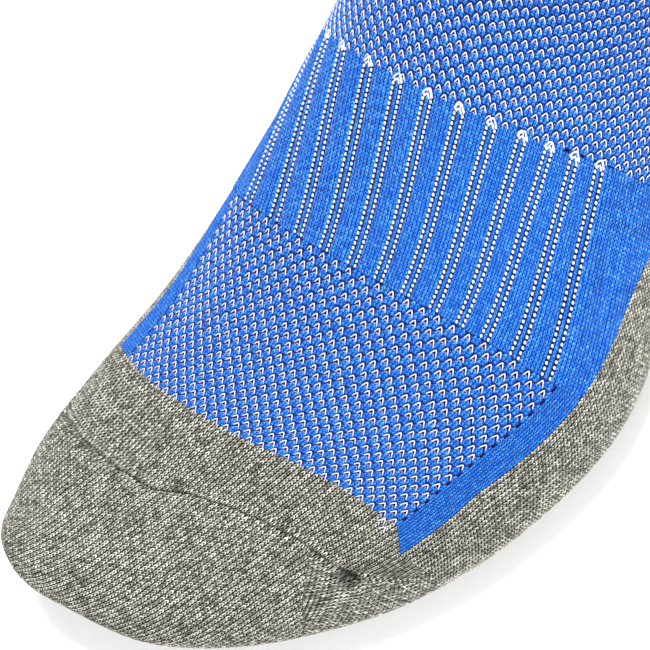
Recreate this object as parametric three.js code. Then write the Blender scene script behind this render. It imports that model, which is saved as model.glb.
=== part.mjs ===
import * as THREE from 'three';
import { mergeVertices } from 'three/addons/utils/BufferGeometryUtils.js';

// Hiking sock for a left foot, standing on its sole in its worn shape.
// Millimetres, +Z up, toes towards -Y, outer (little toe) side towards +X.

// ---- driving dimensions ----
const FOOT_LENGTH = 262.5;      // toe tip to back of heel
const BALL_BREADTH = 98;        // widest part of the forefoot
const INSTEP_HEIGHT = 76;       // height of the top of the foot over the arch
const LEG_LENGTH = 175;         // ankle axis to cuff edge, along the leg
const LEG_BREADTH = 86;         // width of the cuff
const LEG_LEAN = 30;            // degrees the leg leans back from vertical
const KNIT = 1.2;               // outer knit thickness
const TERRY = 1.8;              // inner terry cushion thickness
const LAYER_GAP = 0.7;          // space between knit and cushion
const EDGE_GAP = 0.34;          // space between neighbouring panels
const SEAM_WIDTH = 2.4;         // linking seam over the toes
const SEAM_CLEAR = 0.2;         // extra space each side of the seam
const SEAM_RISE = 0.5;          // how far the seam stands proud
const WELT = 1.1;               // one layer of the folded cuff
const WELT_SLOT = 1.2;          // space inside the fold
const ELASTIC = 0.5;            // elastic inside the fold

// ---- the last: proportions of the foot at its reference size ----
const LAST = { length: 262.5, breadth: 98, instep: 76.2, leg: 175, legBreadth: 86 };
const KX = BALL_BREADTH / LAST.breadth;
const KY = FOOT_LENGTH / LAST.length;
const KZ = INSTEP_HEIGHT / LAST.instep;
const ANKLE = { y: 8 * KY, z: 77 * KZ };
const LEAN = LEG_LEAN * Math.PI / 180;

// Foot sections from toe tip to ankle. Each is a loop in a plane through a point on top
// (yTop, zTop) and one underneath (ySole, zSole), with its inner and outer half reach in x,
// the height fraction of its widest place, two roundness powers, a lean of the top and a flat.
const FOOT_SECTIONS = [
  [-196.5, 21, -196.5, 19, -28, -26.5, 0.50, 2.0, 2.0, 0, 0],
  [-195, 27.5, -195.5, 12, -35, -19.5, 0.50, 2.0, 2.0, -1.5, 0],
  [-191, 30.2, -191.5, 7, -42.5, -2.6, 0.48, 2.0, 2.0, -3.3, 0.5],
  [-182, 31.6, -182, 3.5, -45.2, 12.4, 0.45, 2.1, 2.2, -4.6, 1],
  [-168, 33, -168, 1, -47.2, 26.7, 0.42, 2.1, 2.4, -6.5, 2],
  [-148, 35.8, -148, 0, -45.8, 41.3, 0.38, 2.1, 2.6, -7, 2.5],
  [-122, 41.6, -122, 0, -42.2, 52.4, 0.34, 2.1, 2.7, -7, 2.5],
  [-92, 50.5, -92, 0, -40.7, 57.2, 0.30, 2.1, 2.7, -7.4, 2.5],
  [-62, 61.9, -60, 0, -40.3, 49.8, 0.28, 2.1, 2.7, -7.2, 2.5],
  [-36, 76.2, -28, 0, -39, 41.8, 0.27, 2.1, 2.7, -6.5, 2.5],
  [-22, 90, 2, 0, -37.1, 37.5, 0.30, 2.1, 2.6, -4.2, 2.5],
  [-16.5, 97.5, 34, 0, -35.5, 36, 0.36, 2.1, 2.4, -2.2, 2],
  [-12.5, 104.4, 57, 12, -35, 35.5, 0.42, 2.1, 2.2, -1, 1],
  [-8.8, 110.8, 66, 40, -35, 35.5, 0.46, 2.1, 2.2, 0, 0.5],
  [-5.2, 117, 64, 66, -35, 35.5, 0.48, 2.1, 2.1, 0, 0],
];
// Leg sections: distance up the leg, front reach, back reach, half breadth, widest place.
const LEG_SECTIONS = [
  [40, 32, 38.5, 34.5, 0.50],
  [70, 33, 38, 33, 0.50],
  [105, 36, 42, 36, 0.52],
  [140, 39, 47, 40, 0.53],
  [175, 42, 50, 43, 0.54],
];

// Panel edges. u runs once round a section from the middle of the sole by the outer side,
// v counts sections from the toe tip. Each edge is [u, v] knots.
const TOE_CAP_EDGE = [[0, 5.3], [0.2, 5.3], [0.306, 5.35], [0.334, 5.55], [0.39, 5.56],
  [0.44, 5.5], [0.5, 5.38], [0.56, 5.3], [0.62, 5.25], [0.694, 5.28], [0.8, 5.3], [1, 5.3]];
const TOE_SEAM_EDGE = [
  [0.25, 5.3], [0.314, 4.95], [0.375, 4.97], [0.418, 4.91], [0.448, 4.84], [0.494, 4.66],
  [0.524, 4.46], [0.558, 4.41], [0.63, 4.37], [0.7, 4.44], [0.76, 5.3],
];
const BAND_LOW_EDGE = [[0, 7.05], [0.37, 7.05], [0.44, 7], [0.5, 6.93], [0.58, 6.85],
  [0.66, 6.8], [1, 6.8]];
const BAND_HIGH_EDGE = [[0, 8.5], [0.32, 8.5], [0.38, 8.41], [0.45, 8.3], [0.52, 8.2],
  [0.6, 8.13], [0.66, 8.1], [1, 8.1]];
// Where the sole knit meets the sides: [v, u] on the outer side, mirrored on the inner side.
const SOLE_EDGE = [[5.3, 0.306], [6.1, 0.307], [6.8, 0.292], [7.4, 0.279], [8.1, 0.264],
  [9, 0.25], [20, 0.25]];
const STRIP_EDGE = [[5.3, 0.334], [6, 0.333], [6.4, 0.328], [7.05, 0.312]];
const HEEL_FRONT = 9.2;         // section where the heel cup starts
const CUFF_FROM = 17.7;         // section where the folded cuff starts
const TIP = 0;
const TOP = FOOT_SECTIONS.length + LEG_SECTIONS.length - 1;
const RING_LOW = -14;           // ankle zone, measured square to the heel-to-instep line
const RING_HIGH = 46;
const RING_NORMAL = [0.33, 0.944];

const COLUMNS = 40;             // lines round a full section
const RING_SAMPLES = 160;

// ---- section table ----
function footRow(row) {
  const [yTop, zTop, ySole, zSole, inner, outer, ...rest] = row;
  return [yTop * KY, zTop * KZ, ySole * KY, zSole * KZ, inner * KX, outer * KX, ...rest];
}

function legRow([along, front, back, half, widest]) {
  const d = along * (LEG_LENGTH / LAST.leg);
  const k = LEG_BREADTH / LAST.legBreadth;
  const y = ANKLE.y + d * Math.sin(LEAN);
  const z = ANKLE.z + d * Math.cos(LEAN);
  const top = [y - front * k * Math.cos(LEAN), z + front * k * Math.sin(LEAN)];
  const rear = [y + back * k * Math.cos(LEAN), z - back * k * Math.sin(LEAN)];
  return [...top, ...rear, -half * k, half * k, widest, 2.1, 2.1, 0, 0];
}

const SECTIONS = [...FOOT_SECTIONS.map(footRow), ...LEG_SECTIONS.map(legRow)];
const SLOPES = SECTIONS.map((row, i) => {
  const a = SECTIONS[Math.max(i - 1, 0)];
  const b = SECTIONS[Math.min(i + 1, TOP)];
  const span = (i === 0 || i === TOP) ? 1 : 2;
  return row.map((_, j) => (b[j] - a[j]) / span);
});

function sectionRow(v) {
  const i = Math.min(Math.max(Math.floor(v), 0), TOP - 1);
  const s = Math.min(Math.max(v - i, 0), 1);
  const h00 = 2 * s ** 3 - 3 * s ** 2 + 1;
  const h10 = s ** 3 - 2 * s ** 2 + s;
  const h01 = 3 * s ** 2 - 2 * s ** 3;
  const h11 = s ** 3 - s ** 2;
  return SECTIONS[i].map((p, j) => h00 * p + h10 * SLOPES[i][j]
    + h01 * SECTIONS[i + 1][j] + h11 * SLOPES[i + 1][j]);
}

function roundPower(x, n) {
  return Math.sign(x) * Math.abs(x) ** (2 / n);
}

function sectionLoop(v) {
  const [yT, zT, yS, zS, inner, outer, widest, nTop, nSole, lean, flat] = sectionRow(v);
  const height = Math.hypot(yT - yS, zT - zS);
  const points = [];
  const lengths = [0];
  for (let i = 0; i <= RING_SAMPLES; i += 1) {
    const angle = -Math.PI / 2 + 2 * Math.PI * i / RING_SAMPLES;
    const sine = Math.sin(angle);
    const n = sine >= 0 ? nTop : nSole;
    const across = roundPower(Math.cos(angle), n);
    const up = roundPower(sine, n);
    const reach = up >= 0 ? up * (1 - widest) * height : up * (widest * height + flat);
    const h = Math.max(widest * height + reach, 0) / height;
    const x = (inner + outer) / 2 + (outer - inner) / 2 * across + lean * Math.max(up, 0);
    const p = [x, yS + (yT - yS) * h, Math.max(zS + (zT - zS) * h, 0)];
    if (i > 0) {
      const q = points[i - 1];
      lengths.push(lengths[i - 1] + Math.hypot(p[0] - q[0], p[1] - q[1], p[2] - q[2]));
    }
    points.push(p);
  }
  return { points, lengths };
}

const loopCache = new Map();

function surface(u, v) {
  const key = Math.round(v * 1e6);
  if (!loopCache.has(key)) loopCache.set(key, sectionLoop(v));
  const { points, lengths } = loopCache.get(key);
  const want = (u - Math.floor(u)) * lengths[RING_SAMPLES];
  let low = 0;
  let high = RING_SAMPLES;
  while (high - low > 1) {
    const mid = (low + high) >> 1;
    if (lengths[mid] <= want) low = mid; else high = mid;
  }
  const t = (want - lengths[low]) / (lengths[high] - lengths[low] || 1);
  return new THREE.Vector3(...points[low].map((p, k) => p + (points[high][k] - p) * t));
}

function outward(u, v) {
  if (v < 1e-6) return new THREE.Vector3(0, -1, 0);
  const step = 0.02;
  const round = surface(u + 0.004, v).sub(surface(u - 0.004, v));
  const along = surface(u, Math.min(v + step, TOP)).sub(surface(u, Math.max(v - step, 0)));
  return along.cross(round).normalize();
}

function skin(u, v, depth) {
  return surface(u, v).addScaledVector(outward(u, v), -depth);
}

// ---- edges ----
function along(knots, at) {
  for (let i = 1; i < knots.length; i += 1) {
    const [a, p] = knots[i - 1];
    const [b, q] = knots[i];
    if (at <= b || i === knots.length - 1) {
      const t = Math.min(Math.max((at - a) / (b - a), 0), 1);
      return p + (q - p) * t;
    }
  }
  return knots[0][1];
}

function ringHeight(u, v) {
  const p = surface(u, v);
  return RING_NORMAL[0] * (p.y - ANKLE.y) + RING_NORMAL[1] * (p.z - ANKLE.z);
}

function ringCut(u, level) {
  let low = 8;
  let high = 17.5;
  for (let i = 0; i < 22; i += 1) {
    const mid = (low + high) / 2;
    if (ringHeight(u, mid) < level * KZ) low = mid; else high = mid;
  }
  return (low + high) / 2;
}

// Moves an edge back by a distance along the wale.
function inset(u, v, distance) {
  const step = v > 0.1 && v < TOP - 0.1 ? 0.05 : 0;
  if (step === 0) return v;
  const rate = surface(u, v + step).distanceTo(surface(u, v - step)) / (2 * step);
  return v + distance / rate;
}

// ---- one panel: a closed wall over a patch of the surface ----
// Lines between two values of u: the shared lines round the section, plus any extra stops.
function columns(from, to, stops = []) {
  const clear = 0.2 / COLUMNS;
  const fixed = [from, ...stops, to];
  const list = [...fixed];
  for (let i = Math.ceil(from * COLUMNS); i / COLUMNS < to; i += 1) {
    if (fixed.every(u => Math.abs(u - i / COLUMNS) > clear)) list.push(i / COLUMNS);
  }
  return list.sort((a, b) => a - b);
}

function shapePanel({ u0, u1, low, high, rows, from, to, gapLow = 1, gapHigh = 1, stops }) {
  const full = u1 - u0 > 0.999;
  const us = columns(u0, u1, stops);
  if (full) us.pop();
  const half = EDGE_GAP / 2;
  const grid = us.map((u, i) => {
    const a = inset(u, low(u), half * gapLow);
    const b = inset(u, high(u), -half * gapHigh);
    const roundGap = half / surfaceGirth((a + b) / 2);
    let at = u;
    if (!full && i === 0) at = u + roundGap;
    if (!full && i === us.length - 1) at = u - roundGap;
    return Array.from({ length: rows + 1 }, (_, j) => [at, a + (b - a) * j / rows]);
  });
  return wall(grid, full, from, to);
}

function surfaceGirth(v) {
  surface(0, v);
  return loopCache.get(Math.round(v * 1e6)).lengths[RING_SAMPLES];
}

function wall(grid, full, from, to) {
  const points = [];
  const triangles = [];
  const outer = grid.map(line => line.map(([u, v]) => points.push(skin(u, v, from)) - 1));
  const inner = grid.map(line => line.map(([u, v]) => points.push(skin(u, v, to)) - 1));
  const quad = (a, b, c, d) => triangles.push([a, c, b], [a, d, c]);
  const count = grid.length;
  const last = grid[0].length - 1;
  const spans = full ? count : count - 1;
  for (let i = 0; i < spans; i += 1) {
    const k = (i + 1) % count;
    for (let j = 0; j < last; j += 1) {
      quad(outer[i][j], outer[k][j], outer[k][j + 1], outer[i][j + 1]);
      quad(inner[i][j], inner[i][j + 1], inner[k][j + 1], inner[k][j]);
    }
    quad(inner[i][0], inner[k][0], outer[k][0], outer[i][0]);
    quad(outer[i][last], outer[k][last], inner[k][last], inner[i][last]);
  }
  if (!full) {
    for (let j = 0; j < last; j += 1) {
      quad(inner[0][j], outer[0][j], outer[0][j + 1], inner[0][j + 1]);
      const e = count - 1;
      quad(outer[e][j], inner[e][j], inner[e][j + 1], outer[e][j + 1]);
    }
  }
  return solid(points, triangles);
}

// Builds a welded geometry and drops triangles that have closed up.
function solid(points, triangles) {
  const position = new Float32Array(points.flatMap(p => [p.x, p.y, p.z]));
  const geometry = new THREE.BufferGeometry();
  geometry.setAttribute('position', new THREE.BufferAttribute(position, 3));
  geometry.setIndex(triangles.flat());
  const welded = mergeVertices(geometry, 1e-4);
  const index = Array.from(welded.index.array);
  const kept = [];
  for (let i = 0; i < index.length; i += 3) {
    const [a, b, c] = index.slice(i, i + 3);
    if (a !== b && b !== c && c !== a) kept.push(a, b, c);
  }
  welded.setIndex(kept);
  const flat = welded.toNonIndexed();
  flat.computeVertexNormals();
  return flat;
}

const group = new THREE.Group();

function addNode(name, geometry, colour) {
  const material = new THREE.MeshStandardMaterial({ color: colour, roughness: 0.9 });
  const mesh = new THREE.Mesh(geometry, material);
  mesh.name = name;
  group.add(mesh);
}

const BLUE = 0x2f7fe6;
const GREY = 0x9b9991;
const TERRY_GREY = 0xb4b2aa;
const ROYAL = 0x1f66cf;
const WHITE = 0xe8e8f2;

const edge = knots => u => along(knots, u);
const soleEdge = v => along(SOLE_EDGE, v);
const knitWall = { from: 0, to: KNIT };
const terryWall = { from: KNIT + LAYER_GAP, to: KNIT + LAYER_GAP + TERRY };
const toeCapEdge = edge(TOE_CAP_EDGE);
const bandLow = edge(BAND_LOW_EDGE);
const bandHigh = edge(BAND_HIGH_EDGE);
const ringLow = u => ringCut(u, RING_LOW);
const ringHigh = u => ringCut(u, RING_HIGH);

// ---- toe cap ----
const SEAM_ENDS = [11 / COLUMNS, 29 / COLUMNS];
const SIDE_STOPS = [0.306, 0.334, 0.666, 0.694];
const END_STEP = 0.002;

function seamLine(u) {
  const s = u - Math.floor(u);
  if (s < TOE_SEAM_EDGE[0][0] || s > TOE_SEAM_EDGE[TOE_SEAM_EDGE.length - 1][0]) {
    return toeCapEdge(s);
  }
  return Math.min(along(TOE_SEAM_EDGE, s), toeCapEdge(s));
}

function onSeam(u) {
  const s = u - Math.floor(u);
  return s >= SEAM_ENDS[0] - 1e-6 && s <= SEAM_ENDS[1] + 1e-6;
}

// Past the ends of the seam the pocket runs up to the toe cap's own edge.
function pocketEdge(u) {
  const s = u - Math.floor(u);
  return onSeam(s) ? inset(s, seamLine(s), -SEAM_WIDTH / 2 - SEAM_CLEAR) : toeCapEdge(s);
}

function buildToe() {
  addNode('toe_cap_pocket', shapePanel({
    u0: 0, u1: 1, low: () => TIP, high: pocketEdge, rows: 11, ...knitWall, gapLow: 0,
    stops: [SEAM_ENDS[0] - END_STEP, SEAM_ENDS[0], ...SIDE_STOPS, SEAM_ENDS[1],
      SEAM_ENDS[1] + END_STEP],
  }), GREY);
  addNode('toe_cap_top', shapePanel({
    u0: SEAM_ENDS[0], u1: SEAM_ENDS[1],
    low: u => inset(u, seamLine(u), SEAM_WIDTH / 2 + SEAM_CLEAR), high: toeCapEdge,
    rows: 3, ...knitWall, stops: SIDE_STOPS,
  }), GREY);
  addNode('toe_seam', shapePanel({
    u0: SEAM_ENDS[0], u1: SEAM_ENDS[1],
    low: u => inset(u, seamLine(u), -SEAM_WIDTH / 2),
    high: u => inset(u, seamLine(u), SEAM_WIDTH / 2),
    rows: 1, from: -SEAM_RISE, to: KNIT, stops: SIDE_STOPS,
  }), GREY);
  addNode('toe_cushion', shapePanel({
    u0: 0, u1: 1, low: () => 1.2, high: () => 4.2, rows: 6, ...terryWall,
  }), TERRY_GREY);
}

// ---- forefoot and arch ----
function sideEdges(v) {
  const sole = soleEdge(v);
  const strip = v < 7.05 ? along(STRIP_EDGE, v) : sole;
  return { sole, strip };
}

// A panel whose two side edges follow the wales: s goes across it from 0 to 1.
function stripPanel({ left, right, low, high, rows, from, to }) {
  const half = EDGE_GAP / 2;
  const grid = [];
  const start = low((left(6) + right(6)) / 2);
  const span = right(start) - left(start);
  const stops = columns(left(start), right(start)).map(u => (u - left(start)) / span);
  for (const s of stops) {
    const line = [];
    const guess = left(start) + span * s;
    const a = inset(guess, low(guess), half);
    const endGuess = left(high(guess)) + (right(high(guess)) - left(high(guess))) * s;
    const b = inset(endGuess, high(endGuess), -half);
    for (let j = 0; j <= rows; j += 1) {
      const v = a + (b - a) * j / rows;
      const gap = half / surfaceGirth(v);
      const from0 = left(v) + gap;
      const to0 = right(v) - gap;
      line.push([from0 + (to0 - from0) * s, v]);
    }
    grid.push(line);
  }
  return wall(grid, false, from, to);
}

function buildForefoot() {
  const outerEdge = v => along(STRIP_EDGE, v);
  addNode('forefoot_mesh_panel', stripPanel({
    left: outerEdge, right: v => 1 - outerEdge(v),
    low: toeCapEdge, high: bandLow, rows: 6, ...knitWall,
  }), BLUE);
  addNode('side_strip_outer', stripPanel({
    left: soleEdge, right: outerEdge, low: toeCapEdge, high: bandLow,
    rows: 6, ...knitWall,
  }), ROYAL);
  addNode('side_strip_inner', stripPanel({
    left: v => 1 - outerEdge(v), right: v => 1 - soleEdge(v), low: toeCapEdge, high: bandLow,
    rows: 6, ...knitWall,
  }), ROYAL);
  addNode('arch_band', stripPanel({
    left: soleEdge, right: v => 1 - soleEdge(v), low: bandLow, high: bandHigh,
    rows: 6, ...knitWall,
  }), ROYAL);
  addNode('instep_mesh_panel', stripPanel({
    left: soleEdge, right: v => 1 - soleEdge(v), low: bandHigh, high: ringLow,
    rows: 6, ...knitWall,
  }), BLUE);
}

// ---- sole and heel ----
function buildSole() {
  addNode('sole_panel', stripPanel({
    left: v => -soleEdge(v), right: soleEdge, low: u => toeCapEdge(Math.abs(u)),
    high: () => HEEL_FRONT, rows: 11, ...knitWall,
  }), GREY);
  addNode('heel_cup', stripPanel({
    left: v => -soleEdge(v), right: soleEdge, low: () => HEEL_FRONT,
    high: ringLow, rows: 12, ...knitWall,
  }), GREY);
  addNode('sole_cushion', stripPanel({
    left: v => -0.8 * soleEdge(v), right: v => 0.8 * soleEdge(v), low: () => 5.45, high: () => 9.1,
    rows: 9, ...terryWall,
  }), TERRY_GREY);
  addNode('heel_cushion', stripPanel({
    left: () => -0.22, right: () => 0.22, low: () => 9.3,
    high: u => ringCut(u, RING_LOW - 5), rows: 11, ...terryWall,
  }), TERRY_GREY);
}

// ---- ankle and leg ----
function buildLeg() {
  const front = { left: () => 0.25, right: () => 0.75 };
  const back = { left: () => -0.25, right: () => 0.25 };
  addNode('ankle_front_panel', stripPanel({
    ...front, low: ringLow, high: ringHigh, rows: 7, ...knitWall,
  }), BLUE);
  addNode('ankle_back_panel', stripPanel({
    ...back, low: ringLow, high: ringHigh, rows: 6, ...knitWall,
  }), GREY);
  addNode('leg_front_panel', stripPanel({
    ...front, low: ringHigh, high: () => CUFF_FROM, rows: 5, ...knitWall,
  }), BLUE);
  addNode('leg_back_panel', stripPanel({
    ...back, low: ringHigh, high: () => CUFF_FROM, rows: 5, ...knitWall,
  }), ROYAL);
}

// Folded cuff: outer layer, rounded fold at the top, inner layer, and the slot between them.
function buildCuff() {
  const depth = 2 * WELT + WELT_SLOT;
  const profile = [];
  const rows = 4;
  const foldAt = TOP - 0.04;
  for (let j = 0; j <= rows; j += 1) profile.push([CUFF_FROM + (foldAt - CUFF_FROM) * j / rows, 0]);
  profile.push([TOP, WELT * 0.45]);
  profile.push([TOP, depth - WELT * 0.45]);
  for (let j = rows; j >= 0; j -= 1) profile.push([CUFF_FROM + (foldAt - CUFF_FROM) * j / rows, depth]);
  for (let j = 0; j < rows; j += 1) {
    profile.push([CUFF_FROM + (foldAt - CUFF_FROM) * j / rows, depth - WELT]);
  }
  profile.push([foldAt - 0.02, depth - WELT]);
  profile.push([foldAt - 0.02, WELT]);
  for (let j = rows - 1; j >= 0; j -= 1) {
    profile.push([CUFF_FROM + (foldAt - CUFF_FROM) * j / rows, WELT]);
  }
  addNode('cuff_welt', ringSolid(profile), ROYAL);
  const low = 17.9;
  const high = TOP - 0.2;
  const outerFace = WELT + (WELT_SLOT - ELASTIC) / 2;
  const band = [];
  for (let j = 0; j <= rows; j += 1) band.push([low + (high - low) * j / rows, outerFace]);
  for (let j = rows; j >= 0; j -= 1) {
    band.push([low + (high - low) * j / rows, outerFace + ELASTIC]);
  }
  addNode('cuff_elastic', ringSolid(band), WHITE);
}

// Sweeps a closed (v, depth) outline right round the leg.
function ringSolid(profile) {
  const points = [];
  const triangles = [];
  const lift = EDGE_GAP / 2;
  const rings = Array.from({ length: COLUMNS }, (_, i) => profile.map(([v, depth]) => {
    const at = v === CUFF_FROM ? inset(i / COLUMNS, v, lift) : v;
    return points.push(skin(i / COLUMNS, at, depth)) - 1;
  }));
  for (let i = 0; i < COLUMNS; i += 1) {
    const k = (i + 1) % COLUMNS;
    for (let j = 0; j < profile.length; j += 1) {
      const m = (j + 1) % profile.length;
      triangles.push([rings[i][j], rings[k][m], rings[k][j]], [rings[i][j], rings[i][m], rings[k][m]]);
    }
  }
  return solid(points, triangles);
}

buildToe();
buildForefoot();
buildSole();
buildLeg();
buildCuff();

export default group;
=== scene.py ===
# A worn hiking sock: knitted panels, terry cushions, a folded cuff and white eyelet yarns.
import math
import bpy
import numpy as np
from mathutils import Matrix


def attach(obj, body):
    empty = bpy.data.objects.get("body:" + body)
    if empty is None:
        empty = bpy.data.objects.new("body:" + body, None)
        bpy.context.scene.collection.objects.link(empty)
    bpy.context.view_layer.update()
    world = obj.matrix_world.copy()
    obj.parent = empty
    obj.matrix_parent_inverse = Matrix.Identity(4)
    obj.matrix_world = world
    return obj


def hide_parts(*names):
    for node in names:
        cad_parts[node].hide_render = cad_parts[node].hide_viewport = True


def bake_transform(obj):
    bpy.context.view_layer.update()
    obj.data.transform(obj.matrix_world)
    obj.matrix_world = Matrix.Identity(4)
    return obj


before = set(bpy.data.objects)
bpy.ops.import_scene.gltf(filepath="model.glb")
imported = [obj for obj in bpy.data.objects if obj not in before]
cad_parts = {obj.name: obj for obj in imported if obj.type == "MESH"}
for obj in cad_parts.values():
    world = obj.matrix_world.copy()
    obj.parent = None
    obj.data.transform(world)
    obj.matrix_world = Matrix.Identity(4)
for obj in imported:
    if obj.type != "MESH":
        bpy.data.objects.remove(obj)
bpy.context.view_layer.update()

# ---- sizes in millimetres, in the row frame ----
LEAN = math.radians(30)
ANKLE_Y = 8.0
ANKLE_Z = 77 * 76 / 76.2
KZ = 76 / 76.2
KNIT = 1.2
TERRY_FROM = 1.9
TERRY_TO = 3.7
WELT = 1.1
SLOT = 1.2
ELASTIC = 0.5
SEAM_WIDTH = 2.4
TOP = 19
HEEL_FRONT = 9.2
CUFF_FROM = 17.7

# yTop, zTop, ySole, zSole, inner, outer, widest, nTop, nSole, lean, flat
FOOT = [
    [-196.5, 21, -196.5, 19, -28, -26.5, .50, 2, 2, 0, 0],
    [-195, 27.5, -195.5, 12, -35, -19.5, .50, 2, 2, -1.5, 0],
    [-191, 30.2, -191.5, 7, -42.5, -2.6, .48, 2, 2, -3.3, .5],
    [-182, 31.6, -182, 3.5, -45.2, 12.4, .45, 2.1, 2.2, -4.6, 1],
    [-168, 33, -168, 1, -47.2, 26.7, .42, 2.1, 2.4, -6.5, 2],
    [-148, 35.8, -148, 0, -45.8, 41.3, .38, 2.1, 2.6, -7, 2.5],
    [-122, 41.6, -122, 0, -42.2, 52.4, .34, 2.1, 2.7, -7, 2.5],
    [-92, 50.5, -92, 0, -40.7, 57.2, .30, 2.1, 2.7, -7.4, 2.5],
    [-62, 61.9, -60, 0, -40.3, 49.8, .28, 2.1, 2.7, -7.2, 2.5],
    [-36, 76.2, -28, 0, -39, 41.8, .27, 2.1, 2.7, -6.5, 2.5],
    [-22, 90, 2, 0, -37.1, 37.5, .30, 2.1, 2.6, -4.2, 2.5],
    [-16.5, 97.5, 34, 0, -35.5, 36, .36, 2.1, 2.4, -2.2, 2],
    [-12.5, 104.4, 57, 12, -35, 35.5, .42, 2.1, 2.2, -1, 1],
    [-8.8, 110.8, 66, 40, -35, 35.5, .46, 2.1, 2.2, 0, .5],
    [-5.2, 117, 64, 66, -35, 35.5, .48, 2.1, 2.1, 0, 0],
]
LEG = [[40, 32, 38.5, 34.5, .50], [70, 33, 38, 33, .50], [105, 36, 42, 36, .52],
       [140, 39, 47, 40, .53], [175, 42, 50, 43, .54]]
TOE_CAP_EDGE = [[0, 5.3], [.2, 5.3], [.306, 5.35], [.334, 5.55], [.39, 5.56], [.44, 5.5], [.5, 5.38],
                [.56, 5.3], [.62, 5.25], [.694, 5.28], [.8, 5.3], [1, 5.3]]
TOE_SEAM_EDGE = [[.25, 5.3], [.314, 4.95], [.375, 4.97], [.418, 4.91], [.448, 4.84], [.494, 4.66],
                 [.524, 4.46], [.558, 4.41], [.63, 4.37], [.7, 4.44], [.76, 5.3]]
BAND_LOW = [[0, 7.05], [.37, 7.05], [.44, 7], [.5, 6.93], [.58, 6.85], [.66, 6.8], [1, 6.8]]
BAND_HIGH = [[0, 8.5], [.32, 8.5], [.38, 8.41], [.45, 8.3], [.52, 8.2], [.6, 8.13], [.66, 8.1], [1, 8.1]]
SOLE_EDGE = [[5.3, .306], [6.1, .307], [6.8, .292], [7.4, .279], [8.1, .264], [9, .25], [20, .25]]
STRIP_EDGE = [[5.3, .334], [6, .333], [6.4, .328], [7.05, .312]]
RING_NORMAL = np.array([0, .33, .944])
RING_LOW = -14
RING_HIGH = 46

# ---- the surface, as a table of points over (v, u) ----
V_STEP = 0.02
NU = 1440
SAMPLES = 720


def leg_row(d, front, back, half, widest):
    s, c = math.sin(LEAN), math.cos(LEAN)
    y, z = ANKLE_Y + d * s, ANKLE_Z + d * c
    return [y - front * c, z + front * s, y + back * c, z - back * s, -half, half, widest, 2.1, 2.1, 0, 0]


def foot_row(row):
    row = list(row)
    row[1] *= KZ
    row[3] *= KZ
    return row


def section_rows(v):
    rows = np.array([foot_row(r) for r in FOOT] + [leg_row(*r) for r in LEG], float)
    slopes = np.gradient(rows, axis=0)
    i = np.clip(v.astype(int), 0, TOP - 1)
    s = (v - i)[:, None]
    return ((2 * s**3 - 3 * s**2 + 1) * rows[i] + (s**3 - 2 * s**2 + s) * slopes[i]
            + (3 * s**2 - 2 * s**3) * rows[i + 1] + (s**3 - s**2) * slopes[i + 1])


def signed_power(x, n):
    return np.sign(x) * np.abs(x) ** (2 / n)


def surface_table():
    v = np.linspace(0, TOP, round(TOP / V_STEP) + 1)
    yt, zt, ys, zs, inner, outer, widest, n_top, n_sole, lean, flat = section_rows(v).T[:, :, None]
    angle = -np.pi / 2 + 2 * np.pi * np.arange(SAMPLES + 1) / SAMPLES
    n = np.where(np.sin(angle) >= 0, n_top, n_sole)
    across, up = signed_power(np.cos(angle), n), signed_power(np.sin(angle), n)
    tall = np.hypot(yt - ys, zt - zs)
    reach = np.where(up >= 0, up * (1 - widest) * tall, up * (widest * tall + flat))
    h = np.maximum(widest * tall + reach, 0) / tall
    x = (inner + outer) / 2 + (outer - inner) / 2 * across + lean * np.maximum(up, 0)
    points = np.stack([x, ys + (yt - ys) * h, np.maximum(zs + (zt - zs) * h, 0)], -1)
    length = np.zeros(points.shape[:2])
    length[:, 1:] = np.cumsum(np.linalg.norm(np.diff(points, axis=1), axis=2), axis=1)
    at = np.linspace(0, 1, NU + 1)
    even = np.empty((len(v), NU + 1, 3))
    for i in range(len(v)):
        for k in range(3):
            even[i, :, k] = np.interp(at * length[i, -1], length[i], points[i, :, k])
    return even, length[:, -1]


TABLE, GIRTH = surface_table()


def normal_table():
    along = np.gradient(TABLE, axis=0)
    ring = TABLE[:, :-1]
    step = 6
    across = np.roll(ring, -step, 1) - np.roll(ring, step, 1)
    n = np.cross(along[:, :-1], across)
    n /= np.maximum(np.linalg.norm(n, axis=2, keepdims=True), 1e-9)
    n[0] = (0, -1, 0)
    return np.concatenate([n, n[:, :1]], 1)


NORMALS = normal_table()
RATE = np.linalg.norm(np.gradient(TABLE, axis=0), axis=2) / V_STEP
REACH = np.cumsum(RATE, axis=0) * V_STEP


def look_up(table, u, v):
    u = (u - np.floor(u)) * NU
    v = np.clip(v / V_STEP, 0, len(TABLE) - 1.000001)
    i, j = v.astype(int), np.minimum(u.astype(int), NU - 1)
    s, t = v - i, u - j
    if table.ndim == 3:
        s, t = s[..., None], t[..., None]
    return ((1 - s) * ((1 - t) * table[i, j] + t * table[i, j + 1])
            + s * ((1 - t) * table[i + 1, j] + t * table[i + 1, j + 1]))


def skin(u, v, lift):
    n = look_up(NORMALS, u, v)
    n = n / np.maximum(np.linalg.norm(n, axis=-1, keepdims=True), 1e-9)
    return look_up(TABLE, u, v) + n * np.asarray(lift)[..., None]


def girth(v):
    return np.interp(v, np.linspace(0, TOP, len(GIRTH)), GIRTH)


def inset(u, v, distance):
    return v + distance / np.maximum(look_up(RATE, u, v), 1e-6)


# ---- edges ----
def edge(knots):
    a, p = np.array(knots, float).T
    return lambda at: np.interp(at, a, p)


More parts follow.
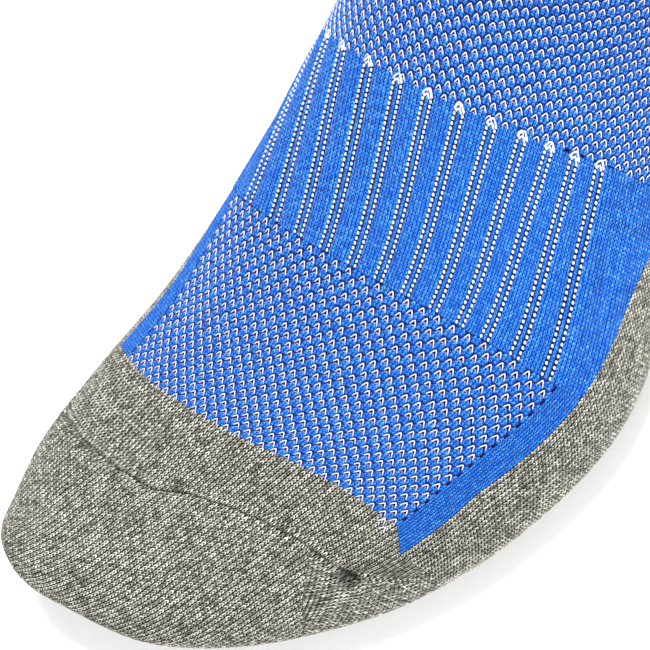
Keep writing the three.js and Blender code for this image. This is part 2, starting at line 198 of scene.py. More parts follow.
def ring_edge(level):
    points = TABLE[:, ::8]
    height = (points - np.array([0, ANKLE_Y, ANKLE_Z])) @ RING_NORMAL
    lo, hi = round(8 / V_STEP), round(17.5 / V_STEP)
    v = np.arange(lo, hi) * V_STEP
    cut = np.array([np.interp(level * KZ, height[lo:hi, k], v) for k in range(height.shape[1])])
    us = np.linspace(0, 1, len(cut))
    return lambda u: np.interp(u - np.floor(u), us, cut)


toe_cap_edge = edge(TOE_CAP_EDGE)
toe_seam_edge = edge(TOE_SEAM_EDGE)
band_low = edge(BAND_LOW)
band_high = edge(BAND_HIGH)
sole_edge = edge(SOLE_EDGE)
strip_edge = edge(STRIP_EDGE)
ring_low = ring_edge(RING_LOW)
ring_high = ring_edge(RING_HIGH)


def wrap(u):
    return u - np.floor(u)


def cap_edge(u):
    return toe_cap_edge(wrap(u))


def seam_line(u):
    s = wrap(u)
    inside = (s > TOE_SEAM_EDGE[0][0]) & (s < TOE_SEAM_EDGE[-1][0])
    return np.where(inside, np.minimum(toe_seam_edge(s), toe_cap_edge(s)), toe_cap_edge(s))


def flat(value):
    return lambda at: np.full_like(np.asarray(at, float), value)


# ---- numbers that can be an array or a material's node ----
class Num:
    """One output of a math node, so that a stitch is written once for the mesh and the material."""

    def __init__(self, tree, socket):
        self.tree, self.socket = tree, socket

    def do(self, kind, *others):
        node = self.tree.nodes.new("ShaderNodeMath")
        node.operation = kind
        for slot, value in zip(node.inputs, (self,) + others):
            link(self.tree, slot, value)
        return Num(self.tree, node.outputs[0])

    def __add__(self, o): return self.do("ADD", o)
    def __sub__(self, o): return self.do("SUBTRACT", o)
    def __mul__(self, o): return self.do("MULTIPLY", o)
    def __rmul__(self, o): return self.do("MULTIPLY", o)
    def __radd__(self, o): return self.do("ADD", o)
    def __rsub__(self, o): return (self * -1.0).do("ADD", o)
    def __truediv__(self, o): return self.do("DIVIDE", o)


def link(tree, slot, value):
    if isinstance(value, Num):
        tree.links.new(value.socket, slot)
    else:
        slot.default_value = value


def fract(x): return x.do("FRACT") if isinstance(x, Num) else x - np.floor(x)
def floor(x): return x.do("FLOOR") if isinstance(x, Num) else np.floor(x)
def size(x): return x.do("ABSOLUTE") if isinstance(x, Num) else np.abs(x)
def root(x): return x.do("SQRT") if isinstance(x, Num) else np.sqrt(x)
def most(x, y): return x.do("MAXIMUM", y) if isinstance(x, Num) else np.maximum(x, y)
def least(x, y): return x.do("MINIMUM", y) if isinstance(x, Num) else np.minimum(x, y)
def sine(x): return x.do("SINE") if isinstance(x, Num) else np.sin(x)


# ---- stitches: a counts wales, b counts courses; heights from 0 to 1 ----
LEG_SIN, LEG_COS = math.sin(math.radians(26)), math.cos(math.radians(26))


def stitch(a, b, wale, course):
    """Height of a plain knit face: two slanted oval legs to a stitch, apex towards the ankle."""
    p = size(fract(a) - .5) - .25
    w = fract(b + p * (wale * LEG_COS / (course * LEG_SIN))) - .5
    across = w * (course * LEG_SIN)
    dy = (w - p * (wale * LEG_COS / (course * LEG_SIN))) * course
    along = dy * LEG_COS - p * (wale * LEG_SIN)
    half = .52 * course * LEG_SIN
    r = (across * across) / half**2 + (along * along) / (1.05 * course)**2
    edge = (size(p + .25) - .5) / .13
    return root(most(1 - r, 0.0)) * (1 - most(1 - edge * edge, 0.0) * .85)


GREY_WALE, GREY_COURSE = 1.13, .9
BLUE_WALE, BLUE_COURSE = .875, .82
CELL = 4
ROW_FORE, ROW_INSTEP = 1.635, 1.45


def eyelet(a, b):
    """1 in the hole of each open cell. A cell is CELL wales wide and one row tall; rows are staggered."""
    c = a / CELL + fract(floor(b) * .5)
    x = (fract(c) - .5) / .125
    y = (fract(b) - .36) / .30
    return most(1 - x * x - y * y, 0.0)


def blob(a, b):
    """Plump stitches between the holes."""
    c = a / CELL + fract(floor(b) * .5)
    x = (size(fract(c) - .5) - .36) / .2
    y = (fract(b) - .5) / .62
    return most(1 - x * x - y * y, 0.0)


def relief(kind, a, b):
    """Height above the surface in millimetres."""
    if kind == "grey":
        return .42 * stitch(a, b, GREY_WALE, GREY_COURSE) - .22
    if kind == "seam":
        return .34 * stitch(a, b, GREY_WALE, GREY_COURSE) - .2
    if kind == "blue":
        return .34 * stitch(a, b, BLUE_WALE, BLUE_COURSE) - .17
    if kind == "rib":
        return .30 * stitch(a, b, BLUE_WALE, BLUE_COURSE) - .25 - .45 * rib_valley(a) + .35 * rib_swell(a)
    if kind == "mesh":
        plain = .24 * stitch(a, b * 2, BLUE_WALE, BLUE_COURSE)
        return plain + .26 * blob(a, b) - .16 - .9 * least(2.2 * eyelet(a, b), 1 + 0 * a)
    if kind == "terry":
        return .5 * size(sine(a * 3.1)) * size(sine(b * 3.3))
    return 0 * a


RIB = 9
PAIR = (3.35, 5.65)
RIB_LOW = np.array([.325, .358, .387, .410, .435, .462, .488, .515, .545, .574, .605, .649])
RIB_HIGH = np.array([.344, .368, .391, .415, .442, .471, .501, .531, .565, .604, .640, .680])
RIBS = len(RIB_LOW)


def rib_knots(lines):
    """Places round the foot at the middle of each group of RIB wales, with the plain wales past the ends."""
    reach = 40 * BLUE_WALE / 240
    return np.array([lines[0] - reach, *lines, lines[-1] + reach])


def rib_middles():
    middle = [(k + .5) * RIB for k in range(RIBS)]
    return np.array([middle[0] - 40, *middle, middle[-1] + 40])


def rib_number(u, t):
    """Counts band wales at u: each pair of white lines is centred in its group of RIB wales."""
    low, high = rib_knots(RIB_LOW), rib_knots(RIB_HIGH)
    rows = np.broadcast_to(t, u.shape)[:, 0]
    return np.stack([np.interp(row, low + (high - low) * at, rib_middles()) for row, at in zip(u, rows)])


def rib_place(number, t):
    low, high = (np.interp(number, rib_middles(), rib_knots(lines)) for lines in (RIB_LOW, RIB_HIGH))
    return low + (high - low) * t


def rib_valley(a):
    """1 along the two sunk wales where the white stitches lie."""
    w = fract(a / RIB) * RIB
    near = least(size(w - PAIR[0]), size(w - PAIR[1]))
    inside = least(most(a * 50.0, 0.0), 1.0) * least(most((RIBS * RIB - a) * 50.0, 0.0), 1.0)
    return most(1 - near * near / .40, 0.0) * inside


def rib_swell(a):
    """1 along the crown of the plain wales between two pairs."""
    w = fract(a / RIB + .5) * RIB - RIB / 2
    return most(1 - w * w / 8, 0.0)


# ---- meshes ----
COLLECTION = bpy.context.scene.collection
THIN = 4
MM = .001


def make_object(name, points, loops, starts, uv, material):
    mesh = bpy.data.meshes.new(name)
    mesh.vertices.add(len(points))
    mesh.vertices.foreach_set("co", np.ascontiguousarray(points * MM, np.float32).ravel())
    mesh.loops.add(len(loops))
    mesh.loops.foreach_set("vertex_index", loops.astype(np.int32))
    mesh.polygons.add(len(starts))
    mesh.polygons.foreach_set("loop_start", starts.astype(np.int32))
    mesh.update(calc_edges=True)
    layer = mesh.uv_layers.new(name="knit")
    layer.data.foreach_set("uv", np.ascontiguousarray(uv, np.float32).ravel())
    mesh.polygons.foreach_set("use_smooth", np.ones(len(starts), bool))
    mesh.validate()
    obj = bpy.data.objects.new(name, mesh)
    COLLECTION.objects.link(obj)
    mesh.materials.append(material)
    return obj


def grid_faces(ids, uv, turn):
    """Quads over a grid of point numbers, with the (a, b) numbers of their corners."""
    corners = [(slice(None, -1), slice(None, -1)), (slice(None, -1), slice(1, None)),
               (slice(1, None), slice(1, None)), (slice(1, None), slice(None, -1))]
    if turn:
        corners = corners[::-1]
    quads = np.stack([ids[c] for c in corners], -1).reshape(-1, 4)
    maps = np.stack([uv[c] for c in corners], -2).reshape(-1, 4, 2)
    return quads, maps


def rim_faces(outer, inner, uv):
    """One face for each thin step along an edge: two inner corners and all the outer ones between."""
    faces, maps = [], []
    for k in range(len(inner) - 1):
        span = outer[k * THIN:(k + 1) * THIN + 1]
        faces.append([inner[k + 1], inner[k], *span])
        near = uv[k * THIN:(k + 1) * THIN + 1]
        maps.append([near[-1], near[0], *near])
    return faces, maps


def shell(name, u, v, a, b, kind, material, full=False, tip=False, top=0, depth=KNIT, bend=None):
    """A closed knit layer over a grid of (u, v): relief on the outer face, a plain inner face."""
    rows, cols = u.shape
    lift = relief(kind, a, b) if bend is None else relief(kind, a, b) + bend
    outer = skin(u, v, lift - top)
    inner = skin(u, v, np.full(u.shape, -float(depth)))[::THIN, ::THIN]
    out_id = np.arange(rows * cols).reshape(rows, cols)
    in_rows, in_cols = inner.shape[:2]
    in_id = rows * cols + np.arange(in_rows * in_cols).reshape(in_rows, in_cols)
    if full:
        out_id[:, -1] = out_id[:, 0]
        in_id[:, -1] = in_id[:, 0]
    uv = np.stack([a, b], -1)
    thin_uv = uv[::THIN, ::THIN]
    q1, m1 = grid_faces(out_id, uv, False)
    q2, m2 = grid_faces(in_id, thin_uv, True)
    edges = [(out_id[-1], in_id[-1], uv[-1])]
    if not tip:
        edges.append((out_id[0][::-1], in_id[0][::-1], uv[0][::-1]))
    if not full:
        edges.append((out_id[:, 0], in_id[:, 0], uv[:, 0]))
        edges.append((out_id[::-1, -1], in_id[::-1, -1], uv[::-1, -1]))
    faces, maps = [], []
    for edge_out, edge_in, near in edges:
        f, m = rim_faces(edge_out, edge_in, near)
        faces += f
        maps += m
    if tip:
        faces += [list(out_id[0, :-1][::-1]), list(in_id[0, :-1])]
        maps += [list(uv[0, :-1][::-1]), list(thin_uv[0, :-1])]
    loops = np.concatenate([q1.ravel(), q2.ravel()] + [np.array(f) for f in faces])
    counts = np.concatenate([np.full(len(q1) + len(q2), 4), [len(f) for f in faces]])
    starts = np.concatenate([[0], np.cumsum(counts)[:-1]])
    all_uv = np.concatenate([m1.reshape(-1, 2), m2.reshape(-1, 2)] + [np.array(m) for m in maps])
    points = np.concatenate([outer.reshape(-1, 3), inner.reshape(-1, 3)])
    used = np.unique(loops)
    number = np.zeros(len(points), int)
    number[used] = np.arange(len(used))
    return make_object(name, points[used], number[loops], starts, all_uv, material)


def patch(left, right, low, high, cols, rows):
    """(u, v) over a panel whose side edges follow v and whose ends follow u."""
    cols, rows = round(cols / THIN) * THIN, round(rows / THIN) * THIN
    s = np.linspace(0, 1, cols + 1)
    t = np.linspace(0, 1, rows + 1)[:, None]
    start = low((left(6.) + right(6.)) / 2)
    a = low(left(start) + (right(start) - left(start)) * s)
    a = low(left(a) + (right(a) - left(a)) * s)
    b = high(left(a) + (right(a) - left(a)) * s)
    b = high(left(b) + (right(b) - left(b)) * s)
    v = a + (b - a) * t
    return left(v) + (right(v) - left(v)) * s, v, np.broadcast_to(s, v.shape), np.broadcast_to(t, v.shape)


def panel_size(left, right, low, high):
    """Mean width and length of a panel in millimetres."""
    u, v, _, _ = patch(left, right, low, high, 40, 40)
    p = look_up(TABLE, u, v)
    wide = np.linalg.norm(np.diff(p, axis=1), axis=2).sum(1).mean()
    tall = np.linalg.norm(np.diff(p, axis=0), axis=2).sum(0).mean()
    return wide, tall


# ---- tubes that lie on the surface ----
SIDES = 6


def tubes(name, us, vs, lifts, radii, material):
    """Joins many short yarns. Each row of us, vs, lifts and radii is one yarn's centre line."""
    centre = skin(us, vs, lifts)
    normal = look_up(NORMALS, us, vs)
    ahead = np.gradient(centre, axis=1)
    ahead /= np.maximum(np.linalg.norm(ahead, axis=2, keepdims=True), 1e-9)
    side = np.cross(ahead, normal)
    side /= np.maximum(np.linalg.norm(side, axis=2, keepdims=True), 1e-9)
    up = np.cross(side, ahead)
    angle = 2 * np.pi * np.arange(SIDES) / SIDES
    ring = (side[:, :, None] * np.cos(angle)[:, None] + up[:, :, None] * np.sin(angle)[:, None])
    points = centre[:, :, None] + ring * radii[:, :, None, None]
    count, long, _, _ = points.shape
    ids = np.arange(count * long * SIDES).reshape(count, long, SIDES)
    nxt = np.roll(ids, -1, 2)
    quads = np.stack([ids[:, :-1], nxt[:, :-1], nxt[:, 1:], ids[:, 1:]], -1).reshape(-1, 4)
    caps = np.concatenate([ids[:, 0, ::-1], ids[:, -1]])
    around = np.broadcast_to(np.arange(SIDES) / SIDES, ids.shape)
    down = np.broadcast_to((np.arange(long) / (long - 1))[:, None], ids.shape)
    uv = np.stack([around * .5, down * 3 + np.arange(count)[:, None, None]], -1).reshape(-1, 2)
    loops = np.concatenate([quads.ravel(), caps.ravel()])
    counts = np.concatenate([np.full(len(quads), 4), np.full(len(caps), SIDES)])
    starts = np.concatenate([[0], np.cumsum(counts)[:-1]])
    return make_object(name, points.reshape(-1, 3), loops, starts, uv[loops], material)


def spread(u, v, across, along):
    """(u, v) of points that many millimetres from (u, v)."""
    return u + across / girth(v), inset(u, v, along)


# ---- materials ----
GORE = [[0, .25], [3.3, .238], [3.9, .233], [4.4, .308], [4.95, .367], [5.6, .367]]
PUCKER = (.313, 4.9)
def colour(r, g, b):
    def lin(c):
        c /= 255
        return c / 12.92 if c <= .04045 else ((c + .055) / 1.055) ** 2.4
    return lin(r), lin(g), lin(b), 1.0


def new_material(name, roughness, sheen):
    material = bpy.data.materials.new(name)
    material.use_nodes = True
    shader = material.node_tree.nodes["Principled BSDF"]
    shader.inputs["Roughness"].default_value = roughness
    shader.inputs["Sheen Weight"].default_value = sheen
    shader.inputs["Sheen Roughness"].default_value = .5
    shader.inputs["Specular IOR Level"].default_value = .12
    return material, material.node_tree, shader


def knit_numbers(tree):
    uv = tree.nodes.new("ShaderNodeUVMap")
    uv.uv_map = "knit"
    split = tree.nodes.new("ShaderNodeSeparateXYZ")
    tree.links.new(uv.outputs[0], split.inputs[0])
    return Num(tree, split.outputs[0]), Num(tree, split.outputs[1])


def vector(tree, x, y, z=0.0):
    node = tree.nodes.new("ShaderNodeCombineXYZ")
    for slot, value in zip(node.inputs, (x, y, z)):
        link(tree, slot, value)
    return node.outputs[0]


def noise(tree, place, scale, detail=2.0):
    node = tree.nodes.new("ShaderNodeTexNoise")
    tree.links.new(place, node.inputs["Vector"])
    node.inputs["Scale"].default_value = scale
    node.inputs["Detail"].default_value = detail
    return Num(tree, node.outputs[0])


def scatter(tree, place):
    node = tree.nodes.new("ShaderNodeTexWhiteNoise")
    node.noise_dimensions = "3D"
    tree.links.new(place, node.inputs["Vector"])
    return Num(tree, node.outputs[0])


def ramp(tree, value, stops):
    node = tree.nodes.new("ShaderNodeValToRGB")
    tree.links.new(value.socket, node.inputs[0])
    band = node.color_ramp
    while len(band.elements) < len(stops):
        band.elements.new(.5)
    for element, (at, rgb) in zip(band.elements, stops):
        element.position = at
        element.color = rgb
    return node.outputs[0]


def blend(tree, amount, first, second):
    node = tree.nodes.new("ShaderNodeMix")
    node.data_type = "RGBA"
    tree.links.new(amount.socket, node.inputs["Factor"])
    for slot, value in ((node.inputs[6], first), (node.inputs[7], second)):
        if isinstance(value, tuple):
            slot.default_value = value
        else:
            tree.links.new(value, slot)
    return node.outputs[2]


def smooth(tree, value, low, high):
    node = tree.nodes.new("ShaderNodeMapRange")
    node.interpolation_type = "SMOOTHSTEP"
    tree.links.new(value.socket, node.inputs[0])
    node.inputs[1].default_value = low
    node.inputs[2].default_value = high
    return Num(tree, node.outputs[0])


def bump(tree, shader, height, distance, strength=1.0):
    node = tree.nodes.new("ShaderNodeBump")
    node.inputs["Distance"].default_value = distance
    node.inputs["Strength"].default_value = strength
    tree.links.new(height.socket, node.inputs["Height"])
    tree.links.new(node.outputs[0], shader.inputs["Normal"])


def fibres(tree, a, b, wale, course):
    """Fine plies that run along the slanted legs of the stitches."""
    p = size(fract(a) - .5) - .25
    across = b * course * LEG_SIN + p * (wale * LEG_COS)
    along = b * course * LEG_COS - p * (wale * LEG_SIN)
    return noise(tree, vector(tree, across * 9.0, along * 2.2, floor(a) * 7.3), 1.0, 3.0)


def leg_place(tree, a, b, wale, course):
    """A number for each leg of each stitch."""
    x = fract(a) - .5
    p = size(x) - .25
    row = floor(b + p * (wale * LEG_COS / (course * LEG_SIN)))
    return vector(tree, floor(a * 2.0), row)


SEAM_WALES = 92
CREASE_SHADE_SPOTS = ((56.0, 6.5), (23.5, 4.5))


def seam_shade(tree, a, b):
    """Painted shade in the crease on the toe side of the seam, deepest in two stretches."""
    spots = [most(1.0 - ((a - at) / wide) * ((a - at) / wide), 0.0) for at, wide in CREASE_SHADE_SPOTS]
    inside = smooth(tree, a, 4.0, 10.0) * (1.0 - smooth(tree, a, 84.0, 90.0))
    return (1.0 - smooth(tree, b, .4, 1.1)) * inside * (spots[0] * .45 + spots[1] * .4 + .5)


def pucker_shade(tree):
    """Painted shade in the small dent where the seam ends."""
    spot = skin(np.array([PUCKER[0]]), np.array([PUCKER[1]]), np.zeros(1))[0] * MM
    place = tree.nodes.new("ShaderNodeTexCoord").outputs["Object"]
    far = tree.nodes.new("ShaderNodeVectorMath")
    far.operation = "DISTANCE"
    tree.links.new(place, far.inputs[0])
    far.inputs[1].default_value = spot.tolist()
    patch_noise = noise(tree, place, 900.0, 1.0)
    return 1.0 - smooth(tree, Num(tree, far.outputs["Value"]) + patch_noise * .0012, .0012, .0042)


def grey_knit(name, seam=False, toe=False):
    material, tree, shader = new_material(name, .95, .05)
    a, b = knit_numbers(tree)
    h = stitch(a, b, GREY_WALE, GREY_COURSE)
    ply = fibres(tree, a, b, GREY_WALE, GREY_COURSE)
    patchy = noise(tree, vector(tree, a * .95, b * .42, .3), 1.0, 2.0)
    each = scatter(tree, leg_place(tree, a, b, GREY_WALE, GREY_COURSE))
    tone = patchy * .42 + each * .26 + ply * 1.15 - .41
    yarn = ramp(tree, tone, [(.20, colour(58, 58, 54)), (.42, colour(124, 123, 114)),
                             (.56, colour(182, 181, 169)), (.80, colour(246, 244, 232))])
    # Painted shade: near-black colour in the gaps between the stitch legs, where shade falls.
    gap = smooth(tree, h, .38, .98)
    near = blend(tree, gap, colour(16, 16, 14), yarn)
    # Painted shade: near-black colour in the seam's crease.
    if seam:
        near = blend(tree, seam_shade(tree, a, b), near, colour(14, 14, 13))
    # Painted shade: near-black spot in the dent where the seam ends.
    if toe:
        near = blend(tree, pucker_shade(tree), near, colour(12, 12, 11))
    tree.links.new(near, shader.inputs["Base Color"])
    bump(tree, shader, ply * .35 + h * .5, .0003)
    return material


# The first colour is painted shade for the gaps between yarns; the other two are yarn tones.
BLUE_GAP_SHADE, BLUE_MID, BLUE_HIGH = colour(0, 20, 84), colour(34, 118, 224), colour(112, 184, 255)


def blue_yarn(tree, a, b, wale, course, h):
    ply = fibres(tree, a, b, wale, course)
    each = scatter(tree, leg_place(tree, a, b, wale, course))
    tone = ply * .9 + each * .25 - .1
    yarn = ramp(tree, tone, [(.25, colour(12, 78, 186)), (.5, BLUE_MID), (.8, BLUE_HIGH)])
    # Painted shade: dark blue in the gaps between stitch legs and between wales.
    gap = smooth(tree, h, .24, .92) * smooth(tree, .5 - size(fract(a) - .5), .03, .17)
    return blend(tree, gap, BLUE_GAP_SHADE, yarn), ply


def blue_knit(name):
    material, tree, shader = new_material(name, .85, .05)
    a, b = knit_numbers(tree)
    h = stitch(a, b, BLUE_WALE, BLUE_COURSE)
    base, ply = blue_yarn(tree, a, b, BLUE_WALE, BLUE_COURSE, h)
    tree.links.new(base, shader.inputs["Base Color"])
    bump(tree, shader, ply * .3 + h * .4, .0003)
    return material


def rib_knit(name):
    material, tree, shader = new_material(name, .85, .05)
    a, b = knit_numbers(tree)
    h = stitch(a, b, BLUE_WALE, BLUE_COURSE)
    base, ply = blue_yarn(tree, a, b, BLUE_WALE, BLUE_COURSE, h)
    # Painted shade: near-black navy along the sunk wales beside the white stitches.
    valley_shade = rib_valley(a)
    tree.links.new(blend(tree, smooth(tree, valley_shade, .20, .75), base, colour(3, 6, 26)),
                   shader.inputs["Base Color"])
    bump(tree, shader, ply * .3 + h * .4, .0003)
    return material


def mesh_knit(name):
    material, tree, shader = new_material(name, .85, .05)
    a, b = knit_numbers(tree)
    h = stitch(a, b * 2.0, BLUE_WALE, BLUE_COURSE)
    base, ply = blue_yarn(tree, a, b * 2.0, BLUE_WALE, BLUE_COURSE, h)
    c = a / float(CELL) + fract(floor(b) * .5)
    x = (fract(c) - .5) / .13
    y = (fract(b) - .06) / .20
    # Painted shade: dark blue in the low ground between the plump stitches.
    lump = smooth(tree, blob(a, b), .02, .40)
    base = blend(tree, lump, BLUE_GAP_SHADE, base)
    pale = smooth(tree, most(1.0 - x * x - y * y, 0.0), .05, .6)
    base = blend(tree, pale * .7, base, colour(186, 182, 222))
    # Painted shade: near-black navy in each open hole, where the inside of the sock lies in shade.
    hole = smooth(tree, eyelet(a, b), .04, .45)
    tree.links.new(blend(tree, hole, base, colour(6, 10, 34)), shader.inputs["Base Color"])
    bump(tree, shader, ply * .3 + h * .3, .0003)
    return material


def yarn(name, low, high):
    material, tree, shader = new_material(name, .8, .2)
    a, b = knit_numbers(tree)
    ply = noise(tree, vector(tree, a * 22.0 + b * 5.0, b * 4.0), 1.0, 2.0)
    tree.links.new(ramp(tree, ply, [(.3, low), (.6, high)]), shader.inputs["Base Color"])
    bump(tree, shader, ply, .00015)
    return material


def loop_pile(name):
    material, tree, shader = new_material(name, .95, .3)
    a, b = knit_numbers(tree)
    fluff = noise(tree, vector(tree, a * 2.0, b * 2.0), 1.3, 4.0)
    tree.links.new(ramp(tree, fluff, [(.3, colour(120, 119, 114)), (.7, colour(205, 203, 196))]),
                   shader.inputs["Base Color"])
    bump(tree, shader, fluff, .0008)
    return material


GREY = grey_knit("grey_knit")
# seam_knit and toe_knit carry painted shade in the seam's crease and in the dent where the seam ends.
SEAM = grey_knit("seam_knit", seam=True, toe=True)
TOE_GREY = grey_knit("toe_knit", toe=True)
BLUE = blue_knit("blue_knit")
RIB_BLUE = rib_knit("rib_knit")
MESH = mesh_knit("mesh_knit")
WHITE = yarn("white_yarn", colour(146, 154, 212), colour(230, 234, 252))
TERRY = loop_pile("loop_pile")
WEB = yarn("elastic_web", colour(170, 170, 176), colour(225, 225, 230))

# ---- which body a piece follows ----
TOE_BEND = ("foot", "toes", (0, -.098, .0), (0, -.133, .0))
ankle = np.array([0, ANKLE_Y, 77.0]) * MM
ANKLE_BEND = ("foot", "leg", tuple(ankle + RING_NORMAL * RING_LOW * MM),
              tuple(ankle + RING_NORMAL * RING_HIGH * MM))


def follow(obj, body):
    if isinstance(body, str):
        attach(obj, body)
    else:
        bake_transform(obj)


# ---- panels ----
def knit_panel(name, region, kind, material, body, fine=(4, 3), wale=None, course=None, bend=None):
    left, right, low, high = region
    wide, tall = panel_size(*region)
    wale = wale or (GREY_WALE if kind == "grey" else BLUE_WALE)
    course = course or (GREY_COURSE if kind == "grey" else BLUE_COURSE)
    wales, courses = max(round(wide / wale), 1), max(round(tall / course), 1)
    u, v, s, t = patch(left, right, low, high, wales * fine[0], courses * fine[1])
    extra = None if bend is None else bend(u, v)
    shift = (wales - RIBS * RIB) / 2 if kind == "rib" else 0
    obj = shell(name + "_knit", u, v, s * wales - shift, t * courses, kind, material, bend=extra)
    follow(obj, body)
    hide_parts(name)
    return obj


FORE_MESH = (strip_edge, lambda v: 1 - strip_edge(v), cap_edge, band_low)
STRIP_OUT = (sole_edge, strip_edge, cap_edge, band_low)
STRIP_IN = (lambda v: 1 - strip_edge(v), lambda v: 1 - sole_edge(v), cap_edge, band_low)
BAND = (sole_edge, lambda v: 1 - sole_edge(v), band_low, band_high)
INSTEP = (sole_edge, lambda v: 1 - sole_edge(v), band_high, ring_low)
SOLE = (lambda v: -sole_edge(v), sole_edge, cap_edge, flat(HEEL_FRONT))
HEEL = (lambda v: -sole_edge(v), sole_edge, flat(HEEL_FRONT), ring_low)
FRONT = (flat(.25), flat(.75))
BACK = (flat(-.25), flat(.25))


CELLS_ROUND = 70
BAND_MEAN = 8.3


def mesh_cells(region, row):
    """Cells across and rows up a panel; the cells line up from panel to panel."""
    left, right, _, _ = region
    return round((right(9.) - left(9.)) * CELLS_ROUND), round(panel_size(*region)[1] / row / 2) * 2


def front_rows(u, v):
    """Counts mesh rows from the band to the cuff. The count runs on from panel to panel."""
    at = np.linspace(0, TOP, len(REACH))
    middle = (.5 * REACH[:, NU // 2] + .5 * REACH[:, round(.28 * NU)]) / ROW_INSTEP
    fade = 1 - np.clip((v - BAND_MEAN) / 1.8, 0, 1)
    start = np.interp(band_high(wrap(u)), at, middle) - np.interp(BAND_MEAN, at, middle)
    return np.interp(v, at, middle) - np.interp(BAND_MEAN, at, middle) - start * fade ** 2


def even_rows(region, rows):
    """Counts rows from 0 at a panel's low edge to rows at its high edge."""
    low, high = region[2:]
    return lambda u, v: (v - low(u)) / (high(u) - low(u)) * rows


def mesh_panel(name, region, body, row, fine, number=front_rows, lead=.8):
    left, right, low, high = region
    wide, tall = panel_size(*region)
    cells, rows = mesh_cells(region, row)
    u, v, s, t = patch(left, right, low, high, cells * fine[0], rows * fine[1])
    obj = shell(name + "_knit", u, v, s * cells * CELL, number(u, v), "mesh", MESH)
    follow(obj, body)
    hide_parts(name)
    loops = eyelet_loops(name + "_loops", region, cells, number, body, lead)
    return obj


LOOP_U = np.array([-.86, -.62, -.36, -.12, .0, .12, .34, .58, .80])
LOOP_V = np.array([-1.0, -.66, -.30, -.04, .03, -.04, -.28, -.62, -.94])
LOOP_RADIUS = np.array([.09, .12, .13, .13, .13, .13, .13, .12, .09])
LOOP_LIFT = np.array([-.12, .10, .20, .22, .22, .22, .20, .10, -.12])


def eyelet_places(region, cells, number, lead):
    """(u, v) of the apex of the white loop over each open cell, and the millimetres to the next row."""
    left, right, low, high = region
    us, vs, gaps = [], [], []
    t = np.linspace(0, 1, 400)
    for half in range(1, 2 * cells):
        s = half / 2 / cells
        middle = left(9.) + (right(9.) - left(9.)) * s
        v = low(middle) + (high(middle) - low(middle)) * t
        u = left(v) + (right(v) - left(v)) * s
        b = number(u, v)
        rows = np.arange(math.ceil(b[0] - lead), math.ceil(b[-1] - .8))
        rows = rows[(rows % 2 == 0) == (half % 2 == 1)]
        at = np.interp(rows + .80, b, v)
        us.append(np.interp(at, v, u))
        vs.append(at)
        gaps.append(look_up(RATE, us[-1], at) / np.interp(at, v, np.gradient(b, v)))
    return np.concatenate(us), np.concatenate(vs), np.concatenate(gaps)


def eyelet_loops(name, region, cells, number, body, lead):
    """White yarn in an upturned V over each open cell."""
    u, v, gap = eyelet_places(region, cells, number, lead)
    reach = (1.6 * np.minimum(gap / ROW_FORE, 1.1) ** .7)[:, None]
    jitter = np.random.default_rng(4)
    wob = jitter.normal(0, .05, (len(u), 4))
    across = LOOP_U * (1 + wob[:, :1]) + wob[:, 1:2]
    along = LOOP_V * reach * (1 + wob[:, 2:3]) + wob[:, 3:4]
    us, vs = spread(u[:, None], v[:, None], across, along)
    lifts = np.broadcast_to(LOOP_LIFT, us.shape)
    radii = np.broadcast_to(LOOP_RADIUS, us.shape)
    obj = tubes(name, us, vs, lifts, radii, WHITE)
    follow(obj, body)
    return obj


gore_edge = edge(GORE)


def pocket_numbers(u, v):
    """Wales run straight over the toes and straight under them, and meet along the gore on each side."""
    turn = gore_edge(v)
    over = (u > turn) & (u < 1 - turn)
    under = np.where(u > .5, u - 1, u)
    a = np.where(over, (u - .5) * girth(v), under * girth(v) + 500 * GREY_WALE) / GREY_WALE
    b = look_up(REACH, np.full_like(u, .5), v) / GREY_COURSE
    return a + 200, np.where(over, b, b + .5)


def seam_strength(u):
    """1 along the seam, 0 past its ends."""
    return np.interp(u, [.295, .325, .69, .715], [0, 1, 1, 0])


def toe_dents(u, v):
    """Small puckers where the seam ends, and a shallow ditch along it, in millimetres."""
    across = (u - PUCKER[0]) * girth(v)
    along = (v - PUCKER[1]) * look_up(RATE, u, v)
    r = np.hypot(across, along)
    turn = np.arctan2(along, across)
    spokes = np.cos(turn * 5 + .6) * np.exp(-((r - 3.6) / 2.2) ** 2)
    dent = -2.6 * np.exp(-(r / 1.35) ** 2) + .55 * spokes
    ditch = (seam_line(u) - v) * look_up(RATE, u, v)
    fold = .4 * np.exp(-((ditch - 3.2) / 1.4) ** 2) - .35 * np.exp(-((ditch + 2.0) / .9) ** 2)
    crease = -.9 * np.exp(-((ditch - 1.1) / .5) ** 2) + .3 * np.exp(-(ditch / .7) ** 2)
    return dent + (fold + crease) * seam_strength(u)


